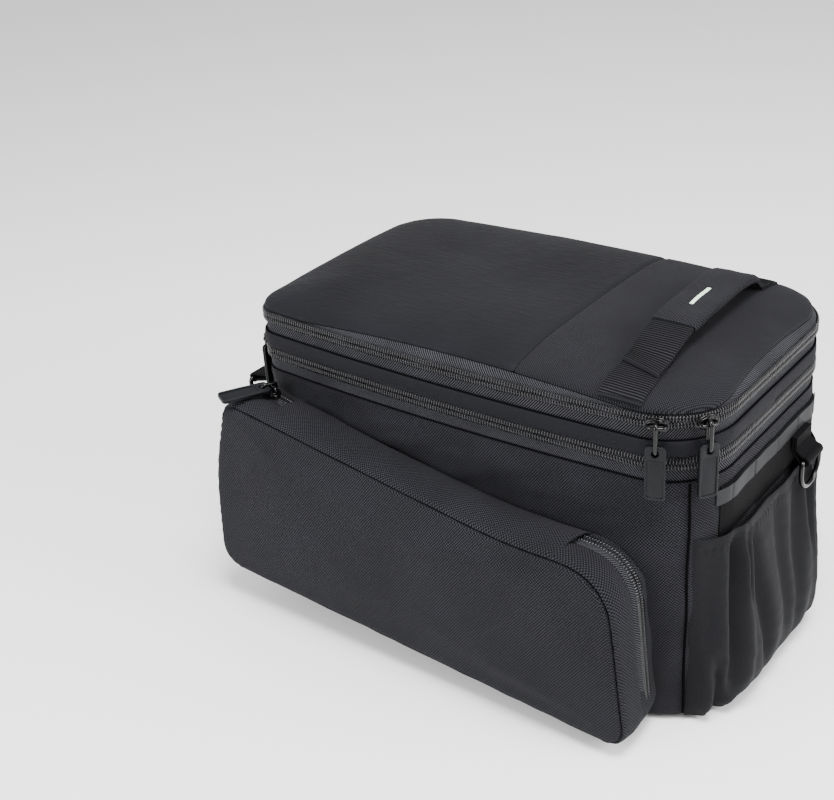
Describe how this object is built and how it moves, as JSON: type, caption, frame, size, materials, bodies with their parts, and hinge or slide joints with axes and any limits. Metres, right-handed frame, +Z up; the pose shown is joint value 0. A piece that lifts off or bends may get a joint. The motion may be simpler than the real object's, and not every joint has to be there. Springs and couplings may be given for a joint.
{
  "type": "bicycle rack bag",
  "caption": "Padded box bag for a bicycle rack with a domed zipped lid, an expanding zip band, a carrying handle, side pockets and a gathered rear pocket.",
  "frame": {"origin": "centre of the flat underside of the stiff rack plate", "axes": "+X towards the rear of the bicycle along the bag's length, +Y towards its right side, +Z up"},
  "size_m": [0.4176, 0.3096, 0.2738],
  "materials": {
    "woven_cloth": "fine woven polyester, matt",
    "soft_cloth": "smooth softshell, matt",
    "thin_cloth": "thin gathered cloth, matt",
    "tape_cloth": "twill zip tape, matt",
    "webbing": "ribbed webbing, matt",
    "coil": "zip coil, satin",
    "rubber": "moulded, matt",
    "black_metal": "glossy black",
    "grey_strip": "reflective grey strip",
    "pale_stripe": "woven stripe, matt",
    "plastic": "stiff sheet, matt"
  },
  "bodies": {
    "bag": {"body_shell": "woven_cloth", "rack_plate": "plastic", "lower_zip_tape": "tape_cloth", "upper_zip_tape": "tape_cloth", "lower_zip_chain": "coil", "upper_zip_chain": "coil", "lid_hinge": "woven_cloth", "lid_front_panel": "soft_cloth", "lid_rear_panel": "woven_cloth", "lid_welt": "webbing", "handle_anchor_left": "webbing", "handle_anchor_right": "webbing", "handle_strap": "webbing", "handle_sleeve": "woven_cloth", "handle_stripe": "pale_stripe", "left_pocket_gusset": "woven_cloth", "left_pocket_welt": "webbing", "left_pocket_panel": "woven_cloth", "left_pocket_zip_tape": "tape_cloth", "left_pocket_zip_chain": "coil", "left_pocket_flap": "woven_cloth", "left_pocket_slider": "black_metal", "left_pocket_link": "black_metal", "left_pocket_pull": "rubber", "right_pocket_gusset": "woven_cloth", "right_pocket_welt": "webbing", "right_pocket_panel": "woven_cloth", "right_pocket_zip_tape": "tape_cloth", "right_pocket_zip_chain": "coil", "right_pocket_flap": "woven_cloth", "right_pocket_slider": "black_metal", "right_pocket_link": "black_metal", "right_pocket_pull": "rubber", "rear_pocket": "thin_cloth", "corner_seam_left": "webbing", "corner_seam_right": "webbing", "rear_webbing": "webbing", "reflective_strip": "grey_strip", "rear_tab": "webbing", "front_tab": "webbing", "upper_zip_first_slider": "black_metal", "upper_zip_first_link": "black_metal", "upper_zip_first_pull": "rubber", "upper_zip_second_slider": "black_metal", "upper_zip_second_link": "black_metal", "upper_zip_second_pull": "rubber", "lower_zip_slider": "black_metal", "lower_zip_link": "black_metal", "lower_zip_pull": "rubber"},
    "rear_ring": {"rear_ring": "black_metal"},
    "front_ring": {"front_ring": "black_metal"}
  },
  "joints": [
    {"name": "rear_ring_swing", "type": "hinge", "parent": "bag", "child": "rear_ring", "pos_m": [0.192, 0.041, 0.15], "axis": [0, -1, 0], "range_deg": [0, 100]},
    {"name": "front_ring_swing", "type": "hinge", "parent": "bag", "child": "front_ring", "pos_m": [-0.213, -0.069, 0.16], "axis": [0, 1, 0], "range_deg": [-60, 100]}
  ]
}
